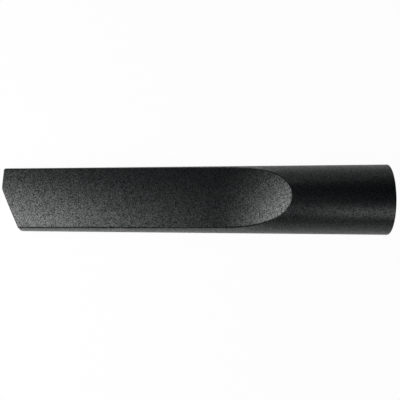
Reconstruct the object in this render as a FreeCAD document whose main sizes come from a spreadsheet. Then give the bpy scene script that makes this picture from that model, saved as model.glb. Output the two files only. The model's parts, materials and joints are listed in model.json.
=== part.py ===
"""Vacuum crevice tool: one hollow plastic moulding, round at the socket and flat at the nozzle.

Each body is drawn about the X axis, with X = 0 at the socket's rim, the nozzle towards -X and its
two broad faces, a little crowned, turned to +Z and -Z. The finished tool is then pitched about the
centre of the rim until it lies as it rests on a table: on its nose and on a heel, where the round
collar begins.
"""

import FreeCAD, Part
import math
import os
import Sketcher

# Driving dimensions in millimetres and degrees
SIZES = [
    ("overall_length", 212.0, "nose of the nozzle to the rim of the socket"),
    ("wall", 2.0, "thickness of the moulding"),
    ("body_draft", 0.58, "half angle of the cone that the outside is cut from"),
    ("socket_bore", 35.0, "inside diameter of the socket, for a 35 mm wand"),
    ("socket_depth", 40.0, "rim to the shoulder that stops the wand"),
    ("throat_length", 15.2, "shoulder to the heels, where the scoops leave the round collar"),
    ("lead_in", 0.6, "45 degree chamfer inside the rim"),
    ("rim_fillet", 0.6, "rounding outside the rim"),
    ("scoop_radius", 83.2, "hollow curve that lifts each broad face up to its heel"),
    ("nose_thickness", 14.5, "outside thickness of the blade at the nose, in the middle of its width"),
    ("crown_radius", 110.0, "curve of each broad face across the blade"),
    ("blade_draft", 1.07, "slope of each broad face away from the axis, towards the socket"),
    ("edge_fillet", 1.2, "rounding along the edges of the broad faces"),
    ("core_fillet", 0.8, "rounding along the corners of the air passage"),
    ("nose_offset", 6.4, "nose to the axis, across the blade"),
    ("nose_radius", 7.5, "rounding of the nose, seen square to the broad faces"),
    ("short_rake", 2.0, "angle of the mouth on the short side of the nose"),
    ("long_rake", 23.8, "angle of the mouth on the long side of the nose"),
    ("mouth_fillet", 0.95, "rounding outside the mouth"),
]

doc = FreeCAD.newDocument("crevice_tool")
sheet = doc.addObject("Spreadsheet::Sheet", "Sizes")
for row, (alias, number, meaning) in enumerate(SIZES, start=1):
    sheet.set(f"A{row}", meaning)
    sheet.set(f"B{row}", str(number))
    sheet.setAlias(f"B{row}", alias)
doc.recompute()

# Expressions that the profiles share
BODY_DRAFT = "Sizes.body_draft * 1 deg"
BLADE_DRAFT = "Sizes.blade_draft * 1 deg"
OVERCUT = "Sizes.wall * 2"
FAR_END = f"(Sizes.overall_length + {OVERCUT})"
BORE_RADIUS = "Sizes.socket_bore / 2"
RIM_RADIUS = f"({BORE_RADIUS} + Sizes.wall)"
COLLAR_LENGTH = "(Sizes.socket_depth + Sizes.throat_length)"
HEEL_RADIUS = f"({RIM_RADIUS} - {COLLAR_LENGTH} * tan({BODY_DRAFT}))"
BLADE_LENGTH = f"(Sizes.overall_length - {COLLAR_LENGTH})"
CROWN_DEPTH = "(Sizes.crown_radius - Sizes.nose_thickness / 2)"
CROWN_SWEEP = f"2 * asin(({RIM_RADIUS} + {OVERCUT}) / Sizes.crown_radius)"

# The tool rests on its heel and on the middle of its nose, just behind the rounding of the mouth
LONG_RAKE = "Sizes.long_rake * 1 deg"
MOUTH_SETBACK = f"(Sizes.nose_offset * tan({LONG_RAKE}) - Sizes.nose_radius * (1 / cos({LONG_RAKE}) - 1))"
FOOT_SETBACK = f"({MOUTH_SETBACK} + Sizes.mouth_fillet)"
FOOT_HEIGHT = f"(Sizes.nose_thickness / 2 + {FOOT_SETBACK} * tan({BLADE_DRAFT}))"
REST_PITCH = f"atan(({HEEL_RADIUS} - {FOOT_HEIGHT}) / ({BLADE_LENGTH} - {FOOT_SETBACK}))"

# How far a profile lies inside the outer surface
SKIN = "0"
CORE = "Sizes.wall"

# Sketcher's numbers for the points of a curve, and for the origin and the upright axis of a sketch
START, END, CENTRE = range(1, 4)
ORIGIN = (-1, 1)
UPRIGHT = -2

ALONG_Y = FreeCAD.Vector(0, 1, 0)
ALONG_Z = FreeCAD.Vector(0, 0, 1)

# Directions this near to each other count as parallel
PARALLEL = math.cos(math.radians(2.5))


def evaluate(expression):
    """The plain number that an expression gives with the sizes in the sheet."""
    result = sheet.evalExpression(expression)
    return float(getattr(result, "Value", result))


def origin_plane(body, role):
    return next(plane for plane in body.Origin.OriginFeatures if plane.Role == role)


class Profile:
    """A sketch on one of its body's origin planes, with dimensions bound to the sheet."""

    def __init__(self, body, name, plane):
        self.sketch = body.newObject("Sketcher::SketchObject", name)
        self.sketch.AttachmentSupport = (origin_plane(body, plane), [""])
        self.sketch.MapMode = "FlatFace"

    def lines(self, *points):
        """Lines from point to point, joined end to end."""
        corners = [FreeCAD.Vector(*point, 0) for point in points]
        pairs = zip(corners, corners[1:])
        lines = [self.sketch.addGeometry(Part.LineSegment(*pair)) for pair in pairs]
        for line, following in zip(lines, lines[1:]):
            self.hold("Coincident", line, END, following, START)
        return lines

    def arc(self, centre, radius, *angles):
        """An anticlockwise arc between two angles, in degrees."""
        circle = Part.Circle(FreeCAD.Vector(*centre, 0), ALONG_Z, radius)
        return self.sketch.addGeometry(Part.ArcOfCircle(circle, *map(math.radians, angles)))

    def mark(self, point):
        """A construction point."""
        return self.sketch.addGeometry(Part.Point(FreeCAD.Vector(*point, 0)), True)

    def axis(self, *points):
        """A construction line to turn the profile about."""
        ends = [FreeCAD.Vector(*point, 0) for point in points]
        return self.sketch.addGeometry(Part.LineSegment(*ends), True)

    def hold(self, kind, *where):
        return self.sketch.addConstraint(Sketcher.Constraint(kind, *where))

    def size(self, name, expression, kind, *where):
        """A named dimension, bound to an expression."""
        number = evaluate(expression)
        if kind == "Angle":
            number = math.radians(number)
        self.sketch.renameConstraint(self.hold(kind, *where, number), name)
        self.sketch.setExpression(f"Constraints.{name}", expression)


def cone_radius(distance, inset):
    """Expression for the radius of the outer cone, or of one inset from it, at a distance from the rim."""
    return f"{RIM_RADIUS} - {distance} * tan({BODY_DRAFT}) - {inset} / cos({BODY_DRAFT})"


def blank_profile(body):
    """Half section of the tapered round bar that the outside is cut from."""
    far_end = evaluate(FAR_END)
    rim = evaluate(RIM_RADIUS)
    profile = Profile(body, "blank_profile", "XY_Plane")
    axis, end, side, face = profile.lines((0, 0), (-far_end, 0), (-far_end, rim), (0, rim), (0, 0))
    profile.hold("Coincident", face, END, axis, START)
    profile.hold("Coincident", axis, START, *ORIGIN)
    profile.hold("Horizontal", axis)
    profile.hold("Vertical", end)
    profile.hold("Vertical", face)
    profile.size("far_end", FAR_END, "DistanceX", axis, END, axis, START)
    profile.size("rim_radius", RIM_RADIUS, "DistanceY", face, END, face, START)
    profile.size("body_draft", BODY_DRAFT, "Angle", side)
    return profile.sketch


def passage_profile(body):
    """Half section of the round core: lead-in, socket, shoulder and the passage beyond it."""
    past_rim = evaluate(OVERCUT)
    far_end = evaluate(FAR_END)
    depth = evaluate("Sizes.socket_depth")
    bore = evaluate(BORE_RADIUS)
    throat = evaluate(cone_radius("Sizes.socket_depth", CORE))
    profile = Profile(body, "passage_profile", "XY_Plane")
    axis, end, passage, shoulder, socket, lead_in, face = profile.lines(
        (past_rim, 0),
        (-far_end, 0),
        (-far_end, throat),
        (-depth, throat),
        (-depth, bore),
        (0, bore),
        (past_rim, bore + past_rim),
        (past_rim, 0),
    )
    profile.hold("Coincident", face, END, axis, START)
    profile.hold("PointOnObject", *ORIGIN, axis)
    profile.hold("Horizontal", axis)
    profile.hold("Horizontal", socket)
    for upright in (end, shoulder, face):
        profile.hold("Vertical", upright)
    profile.size("past_rim", OVERCUT, "DistanceX", *ORIGIN, axis, START)
    profile.size("far_end", FAR_END, "DistanceX", axis, END, *ORIGIN)
    profile.size("body_draft", BODY_DRAFT, "Angle", passage)
    profile.size("throat_radius", cone_radius("Sizes.socket_depth", CORE), "DistanceY", *ORIGIN, passage, END)
    profile.size("socket_depth", "Sizes.socket_depth", "DistanceX", socket, START, *ORIGIN)
    profile.size("socket_radius", BORE_RADIUS, "DistanceY", *ORIGIN, socket, START)
    profile.size("lead_in", "Sizes.lead_in", "DistanceX", lead_in, START, *ORIGIN)
    profile.size("lead_in_angle", "45 deg", "Angle", lead_in)
    return profile.sketch


def broad_face_profile(body, inset):
    """What lies above a broad face, seen from the side: the drafted run, then the scoop up to the heel.

    It is turned about an axis deep below the face, which crowns the face across the tool.
    """
    far_end = evaluate(FAR_END)
    half_thickness = evaluate("Sizes.nose_thickness / 2")
    radius = evaluate("Sizes.scoop_radius")
    collar = evaluate(COLLAR_LENGTH)
    heel = evaluate(HEEL_RADIUS)
    top = evaluate(f"{RIM_RADIUS} + {OVERCUT}")
    depth = evaluate(CROWN_DEPTH)
    rise = heel - half_thickness
    scoop_start = -collar - math.sqrt(2 * radius * rise - rise * rise)
    scoop_end = -collar + top - heel
    profile = Profile(body, "broad_face_profile", "XZ_Plane")
    lid, back, flat = profile.lines(
        (scoop_end, top),
        (-far_end, top),
        (-far_end, half_thickness),
        (scoop_start, half_thickness),
    )
    scoop = profile.arc((scoop_start, half_thickness + radius), radius, -90, -45)
    heel_mark = profile.mark((-collar, heel))
    crown_axis = profile.axis((0, -depth), (-far_end, -depth))
    profile.hold("Tangent", flat, END, scoop, START)
    profile.hold("Coincident", scoop, END, lid, START)
    profile.hold("Horizontal", lid)
    profile.hold("Vertical", back)
    profile.size("top", f"{RIM_RADIUS} + {OVERCUT}", "DistanceY", *ORIGIN, lid, START)
    profile.size("far_end", FAR_END, "DistanceX", flat, START, *ORIGIN)
    profile.size("blade_draft", BLADE_DRAFT, "Angle", flat)
    flat_height = f"Sizes.nose_thickness / 2 - {OVERCUT} * tan({BLADE_DRAFT}) - {inset} / cos({BLADE_DRAFT})"
    profile.size("flat_height", flat_height, "DistanceY", *ORIGIN, flat, START)
    profile.size("collar_length", COLLAR_LENGTH, "DistanceX", heel_mark, START, *ORIGIN)
    profile.size("heel_radius", HEEL_RADIUS, "DistanceY", *ORIGIN, heel_mark, START)
    profile.size("heel_to_centre", "Sizes.scoop_radius", "Distance", heel_mark, START, scoop, CENTRE)
    profile.size("scoop_radius", f"Sizes.scoop_radius + {inset}", "Radius", scoop)
    profile.hold("Horizontal", crown_axis)
    profile.hold("PointOnObject", crown_axis, START, UPRIGHT)
    profile.size("axis_length", FAR_END, "DistanceX", crown_axis, END, crown_axis, START)
    profile.size("crown_depth", CROWN_DEPTH, "DistanceY", crown_axis, START, *ORIGIN)
    return profile.sketch


def mouth_profile(body):
    """What lies beyond the mouth, seen square to the broad faces: two raked cuts joined by a round nose."""
    far_end = evaluate(FAR_END)
    half_width = evaluate(RIM_RADIUS)
    nose_radius = evaluate("Sizes.nose_radius")
    nose_x = nose_radius - evaluate("Sizes.overall_length")
    nose_y = evaluate("Sizes.nose_offset")
    short_rake = evaluate("Sizes.short_rake")
    long_rake = evaluate("Sizes.long_rake")
    nose_tip = nose_x - nose_radius
    profile = Profile(body, "mouth_profile", "XY_Plane")
    nose = profile.arc((nose_x, nose_y), nose_radius, 180 - short_rake, 180 + long_rake)
    long_cut, bottom, back, top, short_cut = profile.lines(
        (nose_tip, nose_y - nose_radius),
        (nose_x, -half_width),
        (-far_end, -half_width),
        (-far_end, half_width),
        (nose_x, half_width),
        (nose_tip, nose_y + nose_radius),
    )
    profile.hold("Tangent", short_cut, END, nose, START)
    profile.hold("Tangent", nose, END, long_cut, START)
    profile.hold("Horizontal", bottom)
    profile.hold("Horizontal", top)
    profile.hold("Vertical", back)
    profile.size("nose_radius", "Sizes.nose_radius", "Radius", nose)
    nose_setback = "Sizes.overall_length - Sizes.nose_radius"
    profile.size("nose_setback", nose_setback, "DistanceX", nose, CENTRE, *ORIGIN)
    profile.size("nose_offset", "Sizes.nose_offset", "DistanceY", *ORIGIN, nose, CENTRE)
    profile.size("short_rake", "-90 deg - Sizes.short_rake * 1 deg", "Angle", short_cut)
    profile.size("long_rake", "-90 deg + Sizes.long_rake * 1 deg", "Angle", long_cut)
    profile.size("far_end", FAR_END, "DistanceX", back, START, *ORIGIN)
    profile.size("top", RIM_RADIUS, "DistanceY", *ORIGIN, top, START)
    profile.size("bottom", RIM_RADIUS, "DistanceY", bottom, START, *ORIGIN)
    return profile.sketch


def revolve(body, name, sketch):
    """Turns a half section about the X axis."""
    feature = body.newObject("PartDesign::Revolution", name)
    feature.Profile = sketch
    feature.ReferenceAxis = (sketch, ["H_Axis"])
    feature.Angle = 360
    return feature


def cut_through(body, name, sketch):
    """Cuts a profile through the whole body, to both sides of its sketch."""
    feature = body.newObject("PartDesign::Pocket", name)
    feature.Profile = sketch
    feature.SideType = "Symmetric"
    feature.Type = "ThroughAll"
    return feature


def cut_broad_faces(body, inset):
    """Cuts the upper broad face, crowned across the tool, then the lower one as its mirror image."""
    upper = body.newObject("PartDesign::Groove", "upper_face")
    upper.Profile = broad_face_profile(body, inset)
    upper.ReferenceAxis = (upper.Profile[0], ["Axis0"])
    upper.Midplane = True
    upper.setExpression("Angle", CROWN_SWEEP)
    lower = body.newObject("PartDesign::Mirrored", "lower_face")
    lower.Originals = [upper]
    lower.MirrorPlane = (origin_plane(body, "XY_Plane"), [""])
    body.Tip = lower
    return lower


def is_off_axis(surface):
    """Tells a surface turned about a crown's axis from one turned about the tool's own."""
    return math.hypot(surface.Center.y, surface.Center.z) > evaluate(RIM_RADIUS)


def is_round_side(face):
    return isinstance(face.Surface, Part.Cone) and not is_off_axis(face.Surface)


def is_broad_face(face):
    """Tells the crowned runs of the blade and the scoops behind them."""
    return isinstance(face.Surface, (Part.Cone, Part.Toroid)) and is_off_axis(face.Surface)


def is_mouth(face):
    """Tells the raked end faces and the round nose between them, which stand square to the broad faces."""
    if isinstance(face.Surface, Part.Cylinder):
        return abs(face.Surface.Axis.dot(ALONG_Z)) > PARALLEL
    return isinstance(face.Surface, Part.Plane) and face.normalAt(0, 0).x < -math.cos(math.pi / 4)


def is_rim(face):
    return isinstance(face.Surface, Part.Plane) and face.normalAt(0, 0).x > PARALLEL


def is_outside(face):
    return not is_mouth(face)


def fillet_between(body, name, one_kind, other_kind, radius):
    """Rounds every edge where a face of one kind meets a face of the other."""
    doc.recompute()
    base = body.Tip
    edges = []
    for index, edge in enumerate(base.Shape.Edges, start=1):
        faces = base.Shape.ancestorsOfType(edge, Part.Face)
        if any(map(one_kind, faces)) and any(map(other_kind, faces)):
            edges.append(f"Edge{index}")
    feature = body.newObject("PartDesign::Fillet", name)
    feature.Base = (base, edges)
    feature.setExpression("Radius", radius)
    return feature


def make_core():
    """The air passage, as the solid that the moulding is hollowed with."""
    body = doc.addObject("PartDesign::Body", "core")
    revolve(body, "round_passage", passage_profile(body))
    cut_broad_faces(body, CORE)
    fillet_between(body, "passage_corners", is_broad_face, is_round_side, "Sizes.core_fillet")
    return body


def make_crevice_tool(core):
    """The moulding: a tapered bar with two broad faces and a raked mouth, rounded and then hollowed."""
    body = doc.addObject("PartDesign::Body", "crevice_tool")
    revolve(body, "blank", blank_profile(body))
    cut_broad_faces(body, SKIN)
    body.Tip = cut_through(body, "mouth", mouth_profile(body))
    fillet_between(body, "broad_face_edges", is_broad_face, is_round_side, "Sizes.edge_fillet")
    fillet_between(body, "mouth_edges", is_mouth, is_outside, "Sizes.mouth_fillet")
    fillet_between(body, "rim_edge", is_rim, is_round_side, "Sizes.rim_fillet")
    hollow = body.newObject("PartDesign::Boolean", "hollow")
    hollow.Type = "Cut"
    hollow.Group = [core]
    body.Tip = hollow
    body.Placement = FreeCAD.Placement(FreeCAD.Vector(), FreeCAD.Rotation(-ALONG_Y, 1))
    body.setExpression("Placement.Rotation.Angle", REST_PITCH)
    return body


def check(part):
    """Stops if any object of the document failed, or if the part isn't one valid solid."""
    for item in doc.Objects:
        if {"Invalid", "Error"} & set(item.State):
            raise RuntimeError(f"{item.Label} failed: {item.State}")
    shape = part.Shape
    if shape.isNull() or not shape.isValid() or len(shape.Solids) != 1:
        raise RuntimeError(f"{part.Label} is not one valid solid")


def write(part):
    os.makedirs("parts", exist_ok=True)
    part.Shape.exportStep(f"parts/{part.Label}.step")


crevice_tool = make_crevice_tool(make_core())
doc.recompute()
check(crevice_tool)
write(crevice_tool)
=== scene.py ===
"""Vacuum crevice tool: the grained black plastic of the moulding, and the stage that it is shown on.

Sizes are in metres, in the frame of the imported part, which lies at rest on its nose and one heel.
"""

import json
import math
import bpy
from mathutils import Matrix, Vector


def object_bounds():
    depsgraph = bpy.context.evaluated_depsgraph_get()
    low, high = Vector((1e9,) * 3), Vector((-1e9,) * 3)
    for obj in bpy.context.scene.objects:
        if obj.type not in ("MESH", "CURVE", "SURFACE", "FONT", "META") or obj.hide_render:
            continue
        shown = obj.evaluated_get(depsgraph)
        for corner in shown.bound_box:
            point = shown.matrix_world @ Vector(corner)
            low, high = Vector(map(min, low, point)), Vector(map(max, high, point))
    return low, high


bl_info = {
    "name": "Crevice Tool",
    "version": (1, 0, 0),
    "blender": (4, 5, 0),
    "location": "View3D > Sidebar > Crevice Tool",
    "description": "Dresses the moulded crevice tool and lights it on a plain pale sweep",
    "category": "Object",
}

import bmesh
import bpy
from bpy.props import FloatProperty, FloatVectorProperty, PointerProperty
from mathutils import Matrix, Vector

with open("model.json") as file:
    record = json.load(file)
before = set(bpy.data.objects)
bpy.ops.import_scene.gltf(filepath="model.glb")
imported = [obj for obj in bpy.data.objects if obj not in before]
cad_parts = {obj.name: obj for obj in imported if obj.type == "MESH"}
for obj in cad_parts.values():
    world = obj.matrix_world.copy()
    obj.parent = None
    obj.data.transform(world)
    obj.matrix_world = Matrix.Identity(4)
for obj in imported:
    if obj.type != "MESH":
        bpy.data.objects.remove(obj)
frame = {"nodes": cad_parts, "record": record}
CAD_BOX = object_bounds()

NODE = "crevice_tool"

# The tool's own axes: along it towards the socket, across its broad faces, and out of the upper one
ALONG = Vector(frame["record"]["mounts"][0]["axis"])
ACROSS = Vector((0, 1, 0))
OUTWARD = ALONG.cross(ACROSS)
TOOL_AXES = Matrix((ALONG, ACROSS, OUTWARD)).transposed()

# Refraction of the plastic and of its glossy skin, and the specular level that the dullest grains keep
PLASTIC_IOR = 1.49
SKIN_IOR = 1.5
DULL_SPECULAR = 0.25

# Share of plain white in the card, as the camera sees it or through glass, and as the tool mirrors it
SEEN_WHITE = 0.96
MIRRORED_WHITE = 0.10
WHITE = (1, 1, 1, 1)

# The sweep's faces round its cove and round its floor, and the gap that is merged where the spin closes
COVE_SEGMENTS = 12
SWEEP_STEPS = 96
MERGED_GAP = 0.00001

# Softboxes: name, place on the tool's own axes, width and height in metres, and power in watts
LAMPS = (
    ("left_softbox", (-0.406, 0.0, 0.292), 0.22, 0.22, 1.150),
    ("near_softbox", (-0.318, -0.134, 0.335), 0.22, 0.22, 1.090),
    ("front_softbox", (0.050, -0.199, 0.150), 0.08, 0.08, 0.072),
    ("upper_front_softbox", (0.032, -0.163, 0.212), 0.08, 0.08, 0.029),
    ("overhead_strip", (-0.125, 0.080, 0.500), 0.12, 0.30, 0.022),
    ("back_softbox", (-0.047, 0.323, 0.229), 0.12, 0.12, 0.0440),
    ("back_strip", (-0.138, 0.392, 0.070), 0.70, 0.12, 0.0924),
)

# Nearest distance that the camera shows
CLIP_START = 0.01


def on_tool(along, across, outward):
    """A point given on the tool's own axes, from the centre of the socket's rim."""
    return TOOL_AXES @ Vector((along, across, outward))


class Socket:
    """An output socket of a node. Arithmetic on it adds Math nodes to the same tree."""

    def __init__(self, graph, socket):
        self.graph = graph
        self.socket = socket

    def math(self, operation, first, second):
        return self.graph.node("ShaderNodeMath", {"operation": operation}, {0: first, 1: second})

    def __add__(self, other):
        return self.math("ADD", self, other)

    def __sub__(self, other):
        return self.math("SUBTRACT", self, other)

    def __rsub__(self, other):
        return self.math("SUBTRACT", other, self)

    def __mul__(self, other):
        return self.math("MULTIPLY", self, other)

    __radd__ = __add__
    __rmul__ = __mul__


class Graph:
    """The node tree of a material or a world, emptied to be built up again."""

    def __init__(self, owner):
        owner.use_nodes = True
        self.tree = owner.node_tree
        self.tree.nodes.clear()

    def node(self, kind, settings=None, sockets=None, output=0):
        """Adds a node, sets its settings, then sets or links its inputs, and gives one output."""
        node = self.tree.nodes.new(kind)
        for name, setting in (settings or {}).items():
            setattr(node, name, setting)
        for key, value in (sockets or {}).items():
            if isinstance(value, Socket):
                self.tree.links.new(value.socket, node.inputs[key])
            else:
                node.inputs[key].default_value = value
        return Socket(self, node.outputs[output]) if node.outputs else None


class PlasticSettings(bpy.types.PropertyGroup):
    """The finish that the tool's mould leaves on the plastic."""

    colour: FloatVectorProperty(
        name="Colour",
        description="Colour of the plastic itself, under its sheen",
        subtype="COLOR",
        default=(0.0001, 0.0016, 0.0019),
        min=0,
        max=1,
    )
    roughness: FloatProperty(
        name="Roughness", description="Roughness of each grain", subtype="FACTOR", default=0.375
    )
    grain_size: FloatProperty(
        name="Grain size", description="Distance from grain to grain", unit="LENGTH", default=0.00042
    )
    grain_tilt: FloatProperty(
        name="Grain tilt",
        description="Largest lean of a grain to either side",
        unit="ROTATION",
        default=0.115,
    )
    grain_shine: FloatProperty(
        name="Grain shine",
        description="Glossy skin on the shiniest grains",
        subtype="FACTOR",
        default=1.0,
    )
    grain_contrast: FloatProperty(
        name="Grain contrast", description="How far shiny and dull grains are set apart", default=2.0
    )


class StageSettings(bpy.types.PropertyGroup):
    """The pale sweep, the lamps and the camera."""

    card_colour: FloatVectorProperty(
        name="Card colour",
        description="Colour of the sweep's card under the lamps",
        subtype="COLOR",
        default=(0.73, 0.73, 0.73),
        min=0,
        max=1,
    )
    sweep_radius: FloatProperty(
        name="Sweep radius",
        description="From the tool to the wall of the sweep",
        unit="LENGTH",
        default=1.0,
    )
    sweep_cove: FloatProperty(
        name="Sweep cove", description="Rounding from the floor to the wall", unit="LENGTH", default=0.35
    )
    sweep_height: FloatProperty(
        name="Sweep height",
        description="Height of the wall round the floor",
        unit="LENGTH",
        default=0.55,
    )
    lamp_level: FloatProperty(
        name="Lamp level",
        description="All lamps together, dimmed or raised",
        subtype="FACTOR",
        default=1.0,
    )
    lamp_aim: FloatProperty(
        name="Lamp aim",
        description="From the rim to the point that the lamps face",
        unit="LENGTH",
        default=0.104,
    )
    world_level: FloatProperty(
        name="World level", description="Even light from all round", subtype="FACTOR", default=0.012
    )
    camera_distance: FloatProperty(
        name="Camera distance",
        description="From the lens to the tool's axis",
        unit="LENGTH",
        default=0.399,
    )
    camera_lean: FloatProperty(
        name="Camera lean",
        description="How far the camera stands off the broad face's normal, about the tool's axis",
        unit="ROTATION",
        default=math.radians(8.91),
    )
    camera_aim: FloatProperty(
        name="Camera aim",
        description="From the rim to the middle of the view",
        unit="LENGTH",
        default=0.10376,
    )
    camera_drop: FloatProperty(
        name="Camera drop",
        description="Middle of the view below the tool's axis",
        unit="LENGTH",
        default=0.00017,
    )
    camera_lens: FloatProperty(
        name="Camera lens", description="Focal length on a 36 mm sensor", unit="CAMERA", default=64.80
    )


def grained_plastic(settings):
    """Black plastic with the fine grain of a spark-eroded mould: each grain has its own lean and shine."""
    material = bpy.data.materials.new("grained_black_plastic")
    graph = Graph(material)
    place = graph.node("ShaderNodeTexCoord", output="Object")
    grain_scale = 1 / settings.grain_size
    grain = graph.node("ShaderNodeTexVoronoi", None, {"Vector": place, "Scale": grain_scale}, output="Color")
    normal = graph.node("ShaderNodeNewGeometry", output="Normal")
    spread = 2 * settings.grain_tilt
    lean = graph.node(
        "ShaderNodeVectorMath",
        {"operation": "MULTIPLY_ADD"},
        {0: grain, 1: (spread,) * 3, 2: (-settings.grain_tilt,) * 3},
    )
    leaning = graph.node("ShaderNodeVectorMath", {"operation": "ADD"}, {0: normal, 1: lean})
    facet = graph.node("ShaderNodeVectorMath", {"operation": "NORMALIZE"}, {0: leaning})
    gloss = graph.node("ShaderNodeSeparateColor", None, {0: grain}, output="Blue")
    parted = settings.grain_contrast * (gloss - 0.5) + 0.5
    shine = graph.node("ShaderNodeClamp", None, {"Value": parted})
    finish = {
        "Base Color": (*settings.colour, 1),
        "Roughness": settings.roughness,
        "IOR": PLASTIC_IOR,
        "Normal": facet,
        "Specular IOR Level": DULL_SPECULAR,
        "Coat Weight": settings.grain_shine * shine,
        "Coat Roughness": settings.roughness,
        "Coat IOR": SKIN_IOR,
    }
    surface = graph.node("ShaderNodeBsdfPrincipled", None, finish)
    graph.node("ShaderNodeOutputMaterial", None, {"Surface": surface})
    return material


def pale_card(colour):
    """Matt card that stays white in view, with the tool's soft shadow on it."""
    material = bpy.data.materials.new("pale_card")
    graph = Graph(material)
    card = graph.node("ShaderNodeBsdfDiffuse", None, {"Color": (*colour, 1)})
    seen = graph.node("ShaderNodeLightPath", output="Is Camera Ray")
    mirrored = graph.node("ShaderNodeLightPath", output="Is Glossy Ray")
    through = graph.node("ShaderNodeLightPath", output="Is Transmission Ray")
    white = graph.node("ShaderNodeEmission", None, {"Color": WHITE, "Strength": 1.0})
    share = SEEN_WHITE * seen + MIRRORED_WHITE * mirrored + SEEN_WHITE * through
    surface = graph.node("ShaderNodeMixShader", None, {0: share, 1: card, 2: white})
    graph.node("ShaderNodeOutputMaterial", None, {"Surface": surface})
    return material


class CREVICE_OT_moulding(bpy.types.Operator):
    """Gives the moulding its grained plastic"""

    bl_idname = "crevice.moulding"
    bl_label = "Moulding"

    def execute(self, context):
        moulding = frame["nodes"][NODE]
        moulding.data.materials.clear()
        moulding.data.materials.append(grained_plastic(context.scene.crevice_plastic))
        return {"FINISHED"}


class CREVICE_OT_stage(bpy.types.Operator):
    """Sets out the pale sweep, the lamps and the camera"""

    bl_idname = "crevice.stage"
    bl_label = "Stage"

    def execute(self, context):
        settings = context.scene.crevice_stage
        self.lay_sweep(context, settings)
        self.hang_lamps(context, settings)
        self.light_world(context, settings)
        self.stand_camera(context, settings)
        context.scene.view_settings.view_transform = "Standard"
        return {"FINISHED"}

    def lay_sweep(self, context, settings):
        """Spins the floor, its cove and the wall round the tool."""
        low, high = CAD_BOX
        middle = Vector(((low.x + high.x) / 2, (low.y + high.y) / 2, low.z))
        radius, height = settings.sweep_radius, settings.sweep_height
        shape = bmesh.new()
        corners = [shape.verts.new(point) for point in ((0, 0, 0), (radius, 0, 0), (radius, 0, height))]
        for pair in zip(corners, corners[1:]):
            shape.edges.new(pair)
        bmesh.ops.bevel(
            shape,
            geom=[corners[1]],
            offset=settings.sweep_cove,
            offset_type="OFFSET",
            segments=COVE_SEGMENTS,
            profile=0.5,
            affect="VERTICES",
            material=-1,
        )
        bmesh.ops.spin(
            shape,
            geom=shape.verts[:] + shape.edges[:],
            cent=(0, 0, 0),
            axis=(0, 0, 1),
            angle=math.tau,
            steps=SWEEP_STEPS,
            use_merge=True,
        )
        bmesh.ops.remove_doubles(shape, verts=shape.verts, dist=MERGED_GAP)
        bmesh.ops.recalc_face_normals(shape, faces=shape.faces)
        bmesh.ops.translate(shape, vec=middle, verts=shape.verts)
        if sum(face.normal.z for face in shape.faces) < 0:
            bmesh.ops.reverse_faces(shape, faces=shape.faces)
        for face in shape.faces:
            face.smooth = True
        mesh = bpy.data.meshes.new("sweep")
        shape.to_mesh(mesh)
        shape.free()
        sweep = bpy.data.objects.new("sweep", mesh)
        sweep.data.materials.append(pale_card(settings.card_colour))
        context.collection.objects.link(sweep)

    def hang_lamps(self, context, settings):
        """Hangs the softboxes, out of the camera's sight and turned to the middle of the tool."""
        middle = on_tool(-settings.lamp_aim, 0, 0)
        for name, place, width, height, power in LAMPS:
            lamp = bpy.data.lights.new(name, "AREA")
            lamp.shape = "RECTANGLE"
            lamp.size = width
            lamp.size_y = height
            lamp.energy = power * settings.lamp_level
            holder = bpy.data.objects.new(name, lamp)
            holder.location = on_tool(*place)
            holder.rotation_euler = (middle - holder.location).to_track_quat("-Z", "Y").to_euler()
            holder.visible_camera = False
            context.collection.objects.link(holder)

    def light_world(self, context, settings):
        """Adds a little even light, so that the side away from the lamps can be read."""
        world = bpy.data.worlds.new("studio")
        graph = Graph(world)
        glow = graph.node("ShaderNodeBackground", None, {"Color": WHITE, "Strength": settings.world_level})
        graph.node("ShaderNodeOutputWorld", None, {"Surface": glow})
        context.scene.world = world

    def stand_camera(self, context, settings):
        """Stands the camera over the broad face, leaning a little to the long side of the mouth."""
        lens = bpy.data.cameras.new("camera")
        lens.lens = settings.camera_lens
        lens.clip_start = CLIP_START
        camera = bpy.data.objects.new("camera", lens)
        sine, cosine = math.sin(settings.camera_lean), math.cos(settings.camera_lean)
        towards = on_tool(0, -sine, cosine)
        up = on_tool(0, cosine, sine)
        facing = Matrix((ALONG, up, towards)).transposed().to_4x4()
        aim = on_tool(-settings.camera_aim, 0, 0) - settings.camera_drop * up
        camera.matrix_world = Matrix.Translation(aim + towards * settings.camera_distance) @ facing
        context.collection.objects.link(camera)
        context.scene.camera = camera


class CREVICE_PT_panel(bpy.types.Panel):
    """Lists the steps of the crevice tool's scene"""

    bl_idname = "CREVICE_PT_panel"
    bl_label = "Crevice Tool"
    bl_space_type = "VIEW_3D"
    bl_region_type = "UI"
    bl_category = "Crevice Tool"

    def draw(self, context):
        for settings in (context.scene.crevice_plastic, context.scene.crevice_stage):
            box = self.layout.box()
            for name in settings.__annotations__:
                box.prop(settings, name)
        for step in STEPS:
            self.layout.operator(step.bl_idname)


STEPS = (CREVICE_OT_moulding, CREVICE_OT_stage)
CLASSES = (PlasticSettings, StageSettings, *STEPS, CREVICE_PT_panel)


def register():
    for cls in CLASSES:
        bpy.utils.register_class(cls)
    bpy.types.Scene.crevice_plastic = PointerProperty(type=PlasticSettings)
    bpy.types.Scene.crevice_stage = PointerProperty(type=StageSettings)


def unregister():
    del bpy.types.Scene.crevice_stage
    del bpy.types.Scene.crevice_plastic
    for cls in reversed(CLASSES):
        bpy.utils.unregister_class(cls)


def main():
    register()
    bpy.ops.crevice.moulding()
    bpy.ops.crevice.stage()


if __name__ == "__main__":
    main()
